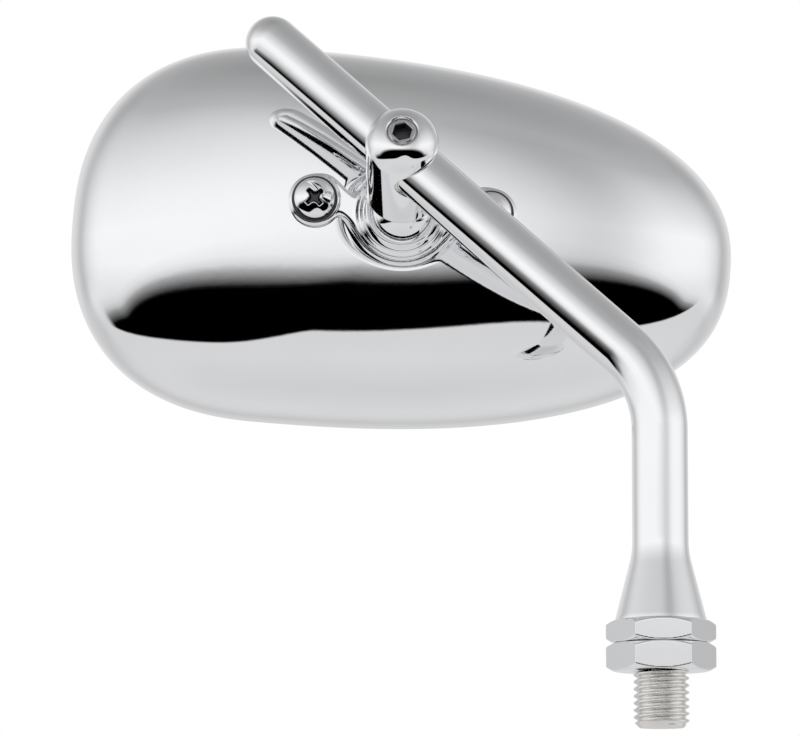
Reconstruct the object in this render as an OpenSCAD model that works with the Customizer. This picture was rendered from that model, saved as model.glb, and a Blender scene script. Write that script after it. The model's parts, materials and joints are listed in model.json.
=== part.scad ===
// Motorcycle mirror: an egg-shaped plated head on a ball joint, carried by a
// swivel post that slides and turns on a bent round stem with a threaded foot.
// Millimetres. Origin: centre of the lock nut's seating face. +Z: up the foot's axis.
// The plated back of the head faces -Y and the glass faces +Y.

/* [Stem] */
// Diameter of the round stem
stem_d = 10; // [9:0.5:11]
// Height of the bend's corner above the seating face
riser_h = 52; // [46:1:70]
// Radius of the bend on the stem's centre line
bend_r = 20; // [14:1:24]
// Angle between the upper leg and the vertical
stem_lean = 48.2; // [40:0.1:56]
// Angle by which the upper leg runs rearward
stem_yaw = 18.4; // [10:0.1:26]
// Length of the upper leg, from the corner to the centre of its round end
leg_l = 98.7; // [92:0.1:120]
// Diameter of the cone where it meets the stem's hexagon
cone_d = 16.2; // [14:0.1:16.8]
// Height of the cone
cone_h = 12; // [8:0.5:16]

/* [Foot] */
// Width across flats of the stem's hexagon and of the lock nut
hex_af = 17; // [17:0.5:22]
// Height of the stem's hexagon
stem_hex_h = 4; // [3:0.5:6]
// Height of the lock nut
nut_h = 5; // [4:0.5:8]
// Outside diameter of the stud's thread
stud_d = 9.86; // [9.6:0.02:10]
// Diameter at which the thread is drawn inside the nut
stud_pitch_d = 9.18; // [8.8:0.02:9.2]
// Length of the stud below the lock nut
stud_l = 10; // [8:0.5:30]
// Chamfer on the stud's end
stud_chamfer = 1; // [0.5:0.1:2]
// Height lost to the chamfer at a hexagon's corners
hex_chamfer = 0.7; // [0.4:0.1:1]

/* [Swivel post] */
// Distance of the post from the centre of the upper leg's round end
post_from_end = 33.8; // [28:0.1:45]
// Diameter of the post
post_d = 13.4; // [13:0.1:16]
// Distance from the ball's centre to the post's free end
post_l = 31; // [29:0.5:38]
// Distance from the ball's centre to the cross bore
post_bore_at = 21.5; // [18:0.5:22]
// Rounding of the post's free end
post_round = 5; // [2:0.1:5.6]
// Distance from the ball's centre to the post's shoulder
shoulder_at = 7.4; // [7.2:0.1:9]
// Rounding of the post's shoulder
shoulder_round = 1.1; // [0.6:0.1:1.6]
// Diameter of the neck behind the ball
neck_d = 6; // [5:0.1:6.2]
// Width of the flare where the neck meets the post
neck_flare = 0.7; // [0.3:0.1:1]
// Diameter of the ball
ball_d = 12.4; // [12:0.1:12.6]
// Chamfer at the mouth of the set screw's hole
screw_mouth = 0.5; // [0.3:0.1:0.8]
// Wall of the split liner in the cross bore
liner_wall = 0.4; // [0.3:0.05:0.5]
// Length of the split liner
liner_l = 7.6; // [5:0.1:8]
// Width of the slit in the liner
liner_slit = 1.2; // [0.6:0.1:2]
// Diameter at which the set screw's thread is drawn
set_screw_d = 5.35; // [4.4:0.05:5.4]
// Length of the set screw
set_screw_l = 3.8; // [3:0.1:4]
// Width across flats of the set screw's socket
set_socket_af = 3; // [2:0.5:3]
// Depth of the set screw's socket
set_socket_h = 1.9; // [1:0.1:2]
// Chamfer on the set screw's tip
set_tip_chamfer = 0.6; // [0.3:0.1:1]

/* [Ball joint] */
// Half angle of the opening in the bracket's collar
collar_angle = 62; // [60:1:66]
// Wall of the collar round the ball
collar_wall = 1.35; // [1:0.05:1.5]
// Diameter of the bracket's raised base
collar_base_d = 16.6; // [16.4:0.1:20]
// Width of the plate's edge round the raised base
base_edge = 0.4; // [0.3:0.1:1]
// Height of the flare from the collar down to its base
skirt_h = 1.6; // [1.2:0.1:2]
// Wall of the ball's seat
seat_wall = 1.2; // [1:0.1:1.3]
// Half angle that the seat covers
seat_angle = 60; // [50:1:62]
// Wall behind the socket of the thrust cup
thrust_wall = 1.9; // [1.2:0.1:3]
// Outside diameter of the thrust cup
thrust_d = 14.6; // [14.2:0.1:14.8]
// Thickness of a disc spring
disc_t = 0.7; // [0.4:0.1:1]
// Height of a disc spring's cone
disc_rise = 0.8; // [0.4:0.1:1.2]
// Outside diameter of the disc springs
disc_d = 13.6; // [12:0.1:14]
// Inside diameter of the disc springs
disc_bore_d = 6.6; // [5:0.1:8]
// Wall of the spring housing
housing_wall = 1.5; // [1:0.1:2]
// Width of the housing's flange round its tube
flange_w = 2; // [1:0.1:4]

/* [Bracket and screws] */
// Distance of each screw from the ball's centre
ear_x = 16.5; // [15.5:0.1:20]
// Height of the screws above the ball's centre
ear_z = 1.4; // [0:0.1:3]
// Radius of an ear
ear_r = 5; // [4.8:0.1:6]
// Thickness of the bracket's plate
plate_t = 1.6; // [1.2:0.1:2.4]
// Height by which an ear's flat seat stands proud of the curved plate
ear_step = 0.05; // [0.05:0.05:0.5]
// Radius of an ear's flat seat
ear_seat_r = 4.5; // [4.4:0.1:4.7]
// Width of an arm
arm_w = 4.3; // [3:0.1:6]
// Distance from the ear's middle to the arm's end, towards the ball
arm_end_in = 2; // [0:0.1:3]
// Height of the arm's end above the ear's middle
arm_end_up = 2.4; // [0:0.1:3]
// Distance of an arm's root to the side of the ball
arm_root_out = 4.5; // [3:0.1:6]
// Distance of an arm's root below the ball
arm_root_down = 3; // [0:0.1:4]
// Rounding where the arms meet the ears and the base
arm_blend = 1.6; // [0.6:0.1:2.4]
// Diameter of the screws' shanks
screw_d = 3.92; // [3.8:0.02:4]
// Diameter at which the screws' thread is drawn inside the nuts
screw_pitch_d = 3.54; // [3.4:0.02:3.6]
// Length of the screws under the head
screw_l = 12; // [11:0.5:14]
// Diameter of the screws' heads
screw_head_d = 7.6; // [7:0.1:8]
// Height of the screws' heads
screw_head_h = 2.6; // [2.2:0.1:3.1]
// Width of the rounding round the top of a head
head_round_w = 2.1; // [1:0.1:2.6]
// Height of that rounding
head_round_h = 1.3; // [0.6:0.1:1.8]
// Length across the cross recess
recess_l = 4.2; // [3:0.1:5]
// Width of the cross recess
recess_w = 1; // [0.6:0.1:1.4]
// Depth of the cross recess
recess_h = 1.5; // [0.8:0.1:1.8]
// Outside diameter of the washers
washer_d = 8.6; // [8:0.1:8.8]
// Thickness of the washers
washer_t = 0.8; // [0.6:0.1:1]
// Width across flats of the square nuts
screw_nut_af = 7; // [6.5:0.1:8]
// Height of the nuts
screw_nut_h = 3.2; // [2:0.1:4]

/* [Head] */
// From the outline's widest place to its blunt end
head_left = 39; // [34:0.5:46]
// From the outline's widest place to its narrow end
head_right = 87.5; // [78:0.5:96]
// Half the height of the outline at its widest place
head_half_h = 35.8; // [32:0.2:42]
// Power of the outline's curve
head_power = 2.38; // [2.1:0.02:2.8]
// Distance of the widest place to the left of the ball
widest_x = 24.2; // [18:0.1:28]
// Distance of the outline's long axis below the ball
axis_drop = 2; // [0:0.1:4]
// Turn of the head about its own depth axis
head_roll = 4.8; // [0:0.1:12]
// Depth from the ball's centre to the top of the dome
dome_gap = 3; // [2.8:0.1:3.6]
// Depth of the dome
dome_depth = 26; // [23:0.5:32]
// Flatness of the dome's middle
dome_flat = 3; // [2:0.1:3.6]
// Fullness of the dome's edge
dome_full = 2.6; // [1.4:0.1:3]
// Wall of the shell
shell_wall = 1; // [0.8:0.1:1.4]
// Depth of the straight rim past the dome
rim_h = 3.1; // [2.8:0.1:4]
// Width of the rim's turned-in lip
lip_w = 3.2; // [2.8:0.1:4]

/* [Glass] */
// Thickness of the glass
glass_t = 3; // [2:0.1:3.4]
// Gap between the outline and the glass's edge
glass_inset = 2.5; // [2.3:0.1:3]
// Width of rubber that laps over the glass
gasket_lap = 1.7; // [1.4:0.1:2.4]
// Room between the rubber's outer edge and the bend of the shell
rubber_room = 0.55; // [0.4:0.05:0.8]
// Thickness of the rubber over the glass
gasket_t = 0.6; // [0.4:0.1:1]
// Thickness of the foam pad behind the glass
pad_t = 3; // [2:0.1:4]

/* [Fits] */
// Radial clearance of a ball, liner or thread that turns in its seat
fit = 0.03; // [0.02:0.01:0.06]
// Clearance round a screw's shank
screw_gap = 0.25; // [0.15:0.05:0.3]
// Clearance between pieces that only lie near each other
gap = 0.15; // [0.1:0.05:0.2]

/* [Hidden] */
$fn = 64;
// Straight pieces of a computed outline
ARC = 96;
// Rings of a computed dome
RINGS = 16;
// Rings of the bracket's plate and the housing's flange
PLATE_RINGS = 4;
// Angle between the computed points of a rounding
ROUND_STEP = 11.25;
// Overlap that keeps joined shapes and cuts clean
EPS = 0.02;
// Share of a hexagon's width that its chamfer leaves flat
hex_flat = 0.97;
// How far the stud's core and the cone run into the stem's hexagon
core_lap = 1;
// How far the flare's small end lies inside the collar
skirt_sink = 0.25;
// What the stem's diameter loses as it is drawn round the bend
bend_thin = 0.01;
// Length of a cutter that passes right through
THROUGH = 60;

CHROME = [0.80, 0.81, 0.83];
STEEL = [0.62, 0.63, 0.65];
ZINC = [0.70, 0.70, 0.66];
NYLON = [0.90, 0.89, 0.84];
RUBBER = [0.08, 0.08, 0.08];
FOAM = [0.20, 0.20, 0.21];
GLASS = [0.72, 0.80, 0.84];

// The upper leg's direction, and the swivel post's: the post stays in the
// plane of the head's tilt and is square to the leg
bend_yaw = 180 - stem_yaw;
leg_dir = [-sin(stem_lean) * cos(stem_yaw), sin(stem_lean) * sin(stem_yaw), cos(stem_lean)];
post_at = leg_l - post_from_end;
post_tilt = atan2(leg_dir[1], leg_dir[2]);
post_dir = [0, -cos(post_tilt), sin(post_tilt)];
leg_side = [-sin(bend_yaw), cos(bend_yaw), 0];
leg_front = cross(leg_side, leg_dir);
post_swing = atan2(post_dir * leg_side, post_dir * leg_front);
corner = [0, 0, riser_h];
post_centre = corner + post_at * leg_dir;
ball_centre = post_centre - post_bore_at * post_dir;
bend_start = bend_r * tan(stem_lean / 2);

// Fits that follow from the pieces' own sizes
ball_r = ball_d / 2;
seat_in_r = ball_r + fit;
seat_out_r = seat_in_r + seat_wall;
collar_r = seat_in_r + collar_wall;
thrust_in_r = seat_out_r + fit;
thrust_back = thrust_in_r + thrust_wall;
thrust_front = seat_in_r * cos(seat_angle) + gap;
liner_in_r = stem_d / 2 + fit;
liner_out_r = liner_in_r + liner_wall;
cross_bore_r = liner_out_r + fit;
disc_h = disc_t + disc_rise;
disc_gap = fit + EPS;
housing_bore_r = thrust_d / 2 + fit * 2;
housing_end = thrust_back + 2 * disc_h + 3 * disc_gap;
throat_r = seat_out_r + gap;
// Depth at which the collar's bore widens for the seat's edge
throat_at = 0.9;
// Depth at which the collar's flare meets the base
skirt_back = 0.4;

// Depths along the head's own axis, from the ball's centre
dome_rim = dome_gap + dome_depth;
lip_back = dome_rim + rim_h - shell_wall;
glass_front = lip_back - gasket_t;
glass_back = glass_front - glass_t;
gasket_back = glass_back - gasket_t;
ear_near = min([for (side = [-1, 1]) dome_at(side * (ear_x - ear_seat_r), ear_z, 0)]);
ear_far = max([for (side = [-1, 1]) dome_at(side * (ear_x + ear_seat_r), ear_z, shell_wall)]);
ear_seat = ear_near - plate_t - ear_step;
nut_seat = ear_far + housing_wall + ear_step;
head_seat = ear_seat - washer_t;

// Point at angle t on the head's outline, pulled in by inset
function egg(t, inset) = [
    -widest_x + (cos(t) < 0 ? inset - head_left : head_right - inset) * pow(abs(cos(t)), 2 / head_power),
    -axis_drop + sign(sin(t)) * (head_half_h - inset) * pow(abs(sin(t)), 2 / head_power)];

// Share of the way from the ball to the outline at which a point lies
function outside(x, z, inset) =
    pow(abs(x + widest_x) / (x < -widest_x ? head_left - inset : head_right - inset), head_power)
    + pow(abs(z + axis_drop) / (head_half_h - inset), head_power) > 1;
function rho_at(x, z, inset, low = 0.01, high = 1, steps = 24) =
    steps == 0 ? (low + high) / 2
    : let (mid = (low + high) / 2)
      outside(x / mid, z / mid, inset) ? rho_at(x, z, inset, mid, high, steps - 1)
      : rho_at(x, z, inset, low, mid, steps - 1);

// Depth of the dome's surface at share rho of the way out
function dome_y(rho, inset) =
    dome_gap + inset + (dome_depth - inset) * (1 - pow(1 - pow(rho, dome_flat), 1 / dome_full));

// Depth of the dome's surface at a place on the head
function dome_at(x, z, inset) = dome_y(rho_at(x, z, inset), inset);

// One ring of points on the dome, for an angle of 0 at the top to 90 at the rim
function dome_ring(a, inset) =
    let (rho = pow(sin(a), 2 / dome_flat))
    [for (i = [0:ARC - 1]) let (p = egg(i * 360 / ARC, inset)) [p.x * rho, dome_y(rho, inset), p.y * rho]];

// One ring of points straight on the outline
function flat_ring(y, inset) =
    [for (i = [0:ARC - 1]) let (p = egg(i * 360 / ARC, inset)) [p.x, y, p.y]];

// Closed skin through a list of rings, with a single point at each end
module ring_skin(first, rings, last) {
    n = len(rings);
    points = concat([first], [for (r = rings) for (p = r) p], [last]);
    end = n * ARC + 1;
    faces = concat(
        [for (j = [0:ARC - 1]) [0, 1 + (j + 1) % ARC, 1 + j]],
        [for (i = [0:n - 2], j = [0:ARC - 1])
            let (a = 1 + i * ARC + j, b = 1 + i * ARC + (j + 1) % ARC) [a, b, a + ARC]],
        [for (i = [0:n - 2], j = [0:ARC - 1])
            let (a = 1 + i * ARC + j, b = 1 + i * ARC + (j + 1) % ARC) [b, b + ARC, a + ARC]],
        [for (j = [0:ARC - 1]) [end, 1 + (n - 1) * ARC + j, 1 + (n - 1) * ARC + (j + 1) % ARC]]);
    polyhedron(points = points, faces = faces, convexity = 6);
}

// Curved plate between two depths of the dome, as far out as ring number reach
module dome_plate(outer_inset, inner_inset, reach) {
    ring_skin([0, dome_y(0, outer_inset), 0],
        concat([for (i = [1:reach]) dome_ring(i * 90 / RINGS, outer_inset)],
               [for (i = [reach:-1:1]) dome_ring(i * 90 / RINGS, inner_inset)]),
        [0, dome_y(0, inner_inset), 0]);
}

// Placing: along the upper leg, along the post, at the head, and about the head's axis
module on_leg() {
    translate(corner) rotate([0, 0, bend_yaw]) rotate([0, stem_lean, 0]) children();
}
module on_post() {
    on_leg() translate([0, 0, post_at]) rotate([0, 0, post_swing]) rotate([0, 90, 0])
        translate([0, 0, -post_bore_at]) children();
}
module on_head() {
    translate(ball_centre) rotate([0, head_roll, 0]) children();
}
// Here +z is the head's depth, from the ball towards the glass
module about_head() {
    on_head() rotate([-90, 0, 0]) children();
}
module at_ear(side) {
    on_head() translate([side * ear_x, 0, ear_z]) rotate([-90, 0, 0]) children();
}

// Flat sheet of the head's outline between two depths
module egg_sheet(front, back, inset) {
    rotate([-90, 0, 0]) translate([0, 0, front]) linear_extrude(back - front)
        polygon([for (i = [0:ARC - 1]) let (p = egg(i * 360 / ARC, inset)) [p.x, -p.y]]);
}

// Rounded end of a bar of radius r: a quarter turn from the height h to its end face
function round_end(r, h, round) = concat(
    [for (a = [0:ROUND_STEP:90]) [r - round * (1 - cos(a)), h + round * sin(a)]],
    round < r ? [[0, h + round]] : []);

// Hexagon with chamfered corners on both faces
module hexagon(af, h) {
    corner_r = af / sqrt(3);
    face_r = af / 2 * hex_flat;
    intersection() {
        cylinder(r = corner_r, h = h, $fn = 6);
        rotate_extrude() polygon([
            [0, 0], [face_r, 0], [corner_r + EPS, hex_chamfer],
            [corner_r + EPS, h - hex_chamfer], [face_r, h], [0, h]]);
    }
}

module stem() {
    core_top = nut_h + core_lap;
    hex_top = nut_h + stem_hex_h;
    cone_top = hex_top + cone_h;
    riser_top = riser_h - bend_start;
    color(CHROME) {
        rotate_extrude() polygon([
            [0, -stud_l], [stud_d / 2 - stud_chamfer, -stud_l], [stud_d / 2, stud_chamfer - stud_l],
            [stud_d / 2, 0], [stud_pitch_d / 2, 0], [stud_pitch_d / 2, core_top], [cone_d / 2, core_top],
            [cone_d / 2, hex_top], [stem_d / 2, cone_top], [stem_d / 2, riser_top + EPS], [0, riser_top + EPS]]);
        translate([0, 0, nut_h]) hexagon(hex_af, stem_hex_h);
        rotate([0, 0, bend_yaw]) translate([bend_r, 0, riser_top]) rotate([90, 0, 180])
            rotate_extrude(angle = stem_lean) translate([bend_r, 0]) circle(d = stem_d - bend_thin);
        on_leg() translate([0, 0, bend_start - EPS])
            rotate_extrude() polygon(concat(
                [[0, 0], [stem_d / 2, 0]], round_end(stem_d / 2, leg_l + EPS - bend_start, stem_d / 2)));
    }
}

module lock_nut() {
    color(CHROME) difference() {
        hexagon(hex_af, nut_h);
        translate([0, 0, -EPS]) cylinder(r = stud_pitch_d / 2 + fit, h = nut_h + 2 * EPS);
    }
}

module stem_liner() {
    color(NYLON) on_leg() translate([0, 0, post_at]) rotate([0, 0, post_swing])
        difference() {
            cylinder(r = liner_out_r, h = liner_l, center = true);
            cylinder(r = liner_in_r, h = liner_l + 1, center = true);
            translate([-liner_out_r, 0, 0]) cube([liner_out_r, liner_slit, liner_l + 1], center = true);
        }
}

module ball_post() {
    post_r = post_d / 2;
    neck_r = neck_d / 2;
    screw_hole_r = set_screw_d / 2 + fit;
    color(CHROME) on_post() difference() {
        union() {
            sphere(r = ball_r);
            rotate_extrude() polygon(concat(
                [[0, 0], [neck_r, 0], [neck_r, shoulder_at - neck_flare], [neck_r + neck_flare, shoulder_at]],
                [for (a = [0:ROUND_STEP:90])
                    [post_r - shoulder_round * (1 - sin(a)), shoulder_at + shoulder_round * (1 - cos(a))]],
                round_end(post_r, post_l - post_round, post_round)));
        }
        translate([0, 0, post_bore_at]) rotate([0, 90, 0])
            cylinder(r = cross_bore_r, h = THROUGH, center = true);
        translate([0, 0, post_bore_at]) cylinder(r = screw_hole_r, h = THROUGH);
        translate([0, 0, post_l - screw_mouth])
            cylinder(r1 = screw_hole_r, r2 = screw_hole_r + screw_mouth + EPS, h = screw_mouth + EPS);
    }
}

module set_screw() {
    screw_tip = post_bore_at + liner_out_r + fit;
    screw_r = set_screw_d / 2;
    color(STEEL) on_post() translate([0, 0, screw_tip]) difference() {
        rotate_extrude() polygon([
            [0, 0], [screw_r - set_tip_chamfer, 0], [screw_r, set_tip_chamfer],
            [screw_r, set_screw_l], [0, set_screw_l]]);
        translate([0, 0, set_screw_l - set_socket_h])
            cylinder(r = set_socket_af / sqrt(3), h = set_socket_h + EPS, $fn = 6);
    }
}

module ball_seat() {
    color(NYLON) about_head() difference() {
        sphere(r = seat_out_r);
        sphere(r = seat_in_r);
        rotate([180, 0, 0]) cylinder(r = THROUGH, h = THROUGH);
        rotate_extrude() polygon([
            [0, 0], [THROUGH, THROUGH / tan(seat_angle)], [THROUGH, 0]]);
    }
}

module thrust_cup() {
    pin_r = disc_bore_d / 2 - 2 * gap;
    color(STEEL) about_head() difference() {
        union() {
            translate([0, 0, thrust_front]) cylinder(d = thrust_d, h = thrust_back - thrust_front);
            translate([0, 0, thrust_back - EPS]) cylinder(r = pin_r, h = 2 * disc_h - disc_t);
        }
        sphere(r = thrust_in_r);
    }
}

// Coned disc whose narrow edge lies at z = 0 and wide edge at z = disc_rise
module disc_spring() {
    rotate_extrude() polygon([
        [disc_bore_d / 2, 0], [disc_d / 2, disc_rise], [disc_d / 2, disc_rise + disc_t], [disc_bore_d / 2, disc_t]]);
}

module disc_spring_front() {
    color(STEEL) about_head() translate([0, 0, thrust_back + disc_gap]) disc_spring();
}

module disc_spring_rear() {
    color(STEEL) about_head() translate([0, 0, housing_end - disc_gap]) rotate([180, 0, 0]) disc_spring();
}

// Outline of the bracket, seen from the plated side, with the ball at its middle
module bracket_outline(base_r) {
    arm_r = arm_w / 2;
    offset(r = -arm_blend, $fn = 32) offset(r = arm_blend, $fn = 32) {
        circle(r = base_r + base_edge, $fn = 72);
        for (side = [-1, 1]) {
            translate([side * ear_x, ear_z]) circle(r = ear_r, $fn = 48);
            hull() {
                translate([side * (ear_x - arm_end_in), ear_z + arm_end_up]) circle(r = arm_r, $fn = 32);
                translate([side * arm_root_out, -arm_root_down]) circle(r = arm_r, $fn = 32);
            }
        }
    }
}

// Room for the two screws' shanks
module screw_holes(radius) {
    for (side = [-1, 1])
        at_ear(side) cylinder(r = radius, h = THROUGH, center = true);
}

module bracket() {
    base_r = collar_base_d / 2;
    color(CHROME) difference() {
        union() {
            intersection() {
                on_head() rotate([90, 0, 0]) linear_extrude(THROUGH, center = true) bracket_outline(base_r);
                on_head() dome_plate(-plate_t, -EPS, PLATE_RINGS);
            }
            about_head() sphere(r = collar_r);
            about_head() translate([0, 0, skirt_back - skirt_h])
                cylinder(r1 = collar_r - skirt_sink, r2 = base_r, h = skirt_h);
            about_head() translate([0, 0, skirt_back])
                cylinder(r = base_r, h = dome_gap - plate_t / 2 - skirt_back);
            for (side = [-1, 1])
                at_ear(side) translate([0, 0, ear_seat]) cylinder(r = ear_seat_r, h = plate_t);
        }
        about_head() sphere(r = seat_in_r);
        about_head() cylinder(r = seat_in_r, h = THROUGH);
        about_head() translate([0, 0, throat_at]) cylinder(r = throat_r, h = THROUGH);
        about_head() rotate([180, 0, 0])
            cylinder(r1 = 0, r2 = THROUGH * tan(collar_angle), h = THROUGH);
        screw_holes(screw_d / 2 + screw_gap);
    }
}

module spring_housing() {
    tube_r = housing_bore_r + housing_wall;
    tube_front = dome_gap + shell_wall + housing_wall * 2 / 3;
    color(ZINC) difference() {
        union() {
            intersection() {
                on_head() rotate([90, 0, 0]) linear_extrude(THROUGH, center = true) {
                    circle(r = tube_r + flange_w);
                    for (side = [-1, 1]) hull() {
                        translate([side * ear_x, ear_z]) circle(r = ear_r, $fn = 32);
                        circle(r = ear_r, $fn = 32);
                    }
                }
                on_head() dome_plate(shell_wall + EPS, shell_wall + housing_wall, PLATE_RINGS);
            }
            about_head() translate([0, 0, tube_front])
                cylinder(r = tube_r, h = housing_end + housing_wall - tube_front);
            for (side = [-1, 1])
                at_ear(side) translate([0, 0, nut_seat - housing_wall]) cylinder(r = ear_seat_r, h = housing_wall);
        }
        about_head() cylinder(r = housing_bore_r, h = housing_end);
        screw_holes(screw_d / 2 + screw_gap);
    }
}

module shell() {
    // Half the thickness of the rolled rim's rounding
    roll = shell_wall / 2;
    rim_out = dome_rim + rim_h;
    color(CHROME) difference() {
        on_head() ring_skin([0, dome_y(0, 0), 0],
            concat([for (i = [1:RINGS]) dome_ring(i * 90 / RINGS, 0)],
                   [flat_ring(rim_out - 3 * roll, 0), flat_ring(rim_out - roll, roll / 2),
                    flat_ring(rim_out, 3 * roll), flat_ring(rim_out, lip_w),
                    flat_ring(lip_back, lip_w), flat_ring(lip_back, shell_wall)],
                   [for (i = [RINGS:-1:1]) dome_ring(i * 90 / RINGS, shell_wall)]),
            [0, dome_y(0, shell_wall), 0]);
        about_head() cylinder(r = throat_r + gap, h = dome_depth / 2);
        for (side = [-1, 1])
            at_ear(side) cylinder(r = screw_d / 2 + screw_gap, h = dome_depth / 2);
    }
}

module pan_screw(side) {
    shank_end = head_seat + screw_l;
    head_r = screw_head_d / 2;
    color(CHROME) at_ear(side) difference() {
        union() {
            translate([0, 0, head_seat]) rotate([180, 0, 0])
                rotate_extrude() polygon(concat(
                    [[0, 0], [head_r, 0]],
                    [for (a = [0:ROUND_STEP:90]) [head_r - head_round_w * (1 - cos(a)),
                                                  screw_head_h - head_round_h * (1 - sin(a))]],
                    [[0, screw_head_h]]));
            translate([0, 0, head_seat - EPS]) cylinder(d = screw_d, h = nut_seat - head_seat);
            translate([0, 0, head_seat - EPS]) cylinder(d = screw_pitch_d, h = shank_end - head_seat + EPS);
        }
        for (turn = [45, 135]) rotate([0, 0, turn])
            translate([-recess_l / 2, -recess_w / 2, head_seat - screw_head_h - EPS])
                cube([recess_l, recess_w, recess_h + EPS]);
    }
}

module washer(side) {
    color(STEEL) at_ear(side) translate([0, 0, head_seat]) difference() {
        cylinder(d = washer_d, h = washer_t);
        translate([0, 0, -EPS]) cylinder(r = screw_d / 2 + screw_gap, h = washer_t + 2 * EPS);
    }
}

module screw_nut(side) {
    color(ZINC) at_ear(side) translate([0, 0, nut_seat]) difference() {
        cylinder(r = screw_nut_af / sqrt(3), h = screw_nut_h, $fn = 6);
        translate([0, 0, -EPS]) cylinder(r = screw_pitch_d / 2 + fit, h = screw_nut_h + 2 * EPS);
    }
}

module screw_left() {
    pan_screw(-1);
}

module screw_right() {
    pan_screw(1);
}

module washer_left() {
    washer(-1);
}

module washer_right() {
    washer(1);
}

module nut_left() {
    screw_nut(-1);
}

module nut_right() {
    screw_nut(1);
}

module mirror_glass() {
    color(GLASS) on_head() egg_sheet(glass_back, glass_front, glass_inset);
}

module glass_gasket() {
    outer = shell_wall + rubber_room;
    color(RUBBER) on_head() difference() {
        egg_sheet(gasket_back, lip_back, outer);
        egg_sheet(glass_back, glass_front, glass_inset);
        egg_sheet(gasket_back - 1, lip_back + 1, glass_inset + gasket_lap);
    }
}

module backing_pad() {
    color(FOAM) on_head() egg_sheet(glass_back - pad_t, glass_back, glass_inset + gasket_lap + 2 * gap);
}

stem();
lock_nut();
stem_liner();
ball_post();
set_screw();
ball_seat();
thrust_cup();
disc_spring_front();
disc_spring_rear();
spring_housing();
shell();
bracket();
screw_left();
screw_right();
washer_left();
washer_right();
nut_left();
nut_right();
mirror_glass();
glass_gasket();
backing_pad();
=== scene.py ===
"""Looks of an egg-shaped motorcycle mirror with a ball joint, a swivel post and a bent stem.

Shapes are worked out in millimetres in each part's own frame, then placed in the row frame in metres.
"""
import json
import math

import bpy
import numpy as np
from mathutils import Matrix, Vector


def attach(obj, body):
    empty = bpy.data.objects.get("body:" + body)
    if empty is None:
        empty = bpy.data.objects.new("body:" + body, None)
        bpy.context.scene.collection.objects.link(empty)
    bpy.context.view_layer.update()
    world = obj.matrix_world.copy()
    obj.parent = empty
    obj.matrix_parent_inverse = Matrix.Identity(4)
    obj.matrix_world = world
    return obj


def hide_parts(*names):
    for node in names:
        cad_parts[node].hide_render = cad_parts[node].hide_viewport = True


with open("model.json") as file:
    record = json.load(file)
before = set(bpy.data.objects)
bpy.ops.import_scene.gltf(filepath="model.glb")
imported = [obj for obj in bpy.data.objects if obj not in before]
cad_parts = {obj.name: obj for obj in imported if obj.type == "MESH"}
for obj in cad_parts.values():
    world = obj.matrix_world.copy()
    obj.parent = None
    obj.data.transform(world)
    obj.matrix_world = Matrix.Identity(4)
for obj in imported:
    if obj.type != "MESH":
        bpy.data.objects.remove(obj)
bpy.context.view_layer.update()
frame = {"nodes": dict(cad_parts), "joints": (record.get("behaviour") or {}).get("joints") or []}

MM = 0.001
FULL_TURN = 2 * math.pi
UP = Vector((0, 0, 1))
JOINTS = {joint["name"]: joint for joint in frame["joints"]}

# Stem and foot
STEM_R = 5.0
BEND_R = 20.0
LEG_L = 98.7
CONE_R = 8.1
CONE_H = 12.0
CONE_FOOT = 0.25
HEX_AF = 17.0
NUT_H = 5.0
NUT_BORE_R = 4.62
STEM_HEX_H = 4.0
HEX_CHAMFER = 0.75
HEX_BOX_X = 10.4
HEX_BOX_Y = 9.2
STUD_R = 4.93
STUD_L = 10.0
THREAD_PITCH = 1.25
THREAD_DEPTH = 0.62

# Swivel post and its ball
BALL_R = 6.2
NECK_R = 3.0
SHOULDER_AT = 7.4
POST_R = 6.7
POST_L = 31.0
POST_ROUND = 5.0
SHOULDER_ROUND = 1.1
NECK_FLARE = 0.7
CROSS_BORE_AT = 21.5
CROSS_BORE_R = 5.46
SET_SCREW_R = 2.675
SET_SCREW_L = 3.8
SET_HOLE_R = 2.72
SOCKET_AF = 3.0
SOCKET_H = 1.9

# Head: outline, dome and rim
HEAD_LEFT = 39.0
HEAD_RIGHT = 87.5
HEAD_HALF_H = 35.8
HEAD_POWER = 2.38
WIDEST_X = 24.2
AXIS_DROP = 2.0
HEAD_ROLL = math.radians(4.8)
DOME_GAP = 3.0
DOME_DEPTH = 26.0
DOME_FLAT = 3.0
DOME_FULL = 2.6
SHELL_WALL = 1.0
RIM_H = 3.1
RIM_ROLL = 1.2
LIP_W = 3.2
SHELL_HOLE_R = 7.9
OUTLINE_POINTS = 288
OUTLINE_STEPS = 5760
ARC_STEPS = 9

# Glass and rubber, as depths from the ball's centre
GASKET_T = 0.6
GLASS_T = 3.0
GLASS_INSET = 2.5
GASKET_LAP = 1.7
DOME_RIM = DOME_GAP + DOME_DEPTH
RIM_FRONT = DOME_RIM + RIM_H
LIP_BACK = RIM_FRONT - SHELL_WALL
GLASS_FRONT = LIP_BACK - GASKET_T
GLASS_BACK = GLASS_FRONT - GLASS_T

# Bracket and its screws
EAR_X = 16.5
EAR_Z = 1.4
EAR_R = 5.0
EAR_SEAT_R = 4.5
EAR_STEP = 0.05
PLATE_T = 1.6
ARM_R = 2.15
ARM_END_IN = 2.0
ARM_END_UP = 2.4
ARM_ROOT_OUT = 4.5
ARM_ROOT_DOWN = 3.0
BASE_R = 8.3
BASE_EDGE = 0.4
COLLAR_WALL = 1.35
COLLAR_ANGLE = math.radians(62)
THROAT_R = 7.6
WASHER_R = 4.3
WASHER_T = 0.8
SCREW_R = 1.96
SCREW_L = 11.95
SCREW_GAP = 0.25
SCREW_HEAD_R = 3.8
SCREW_HEAD_H = 2.6
RECESS_L = 4.2
RECESS_W = 0.95
RECESS_H = 1.5

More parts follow.
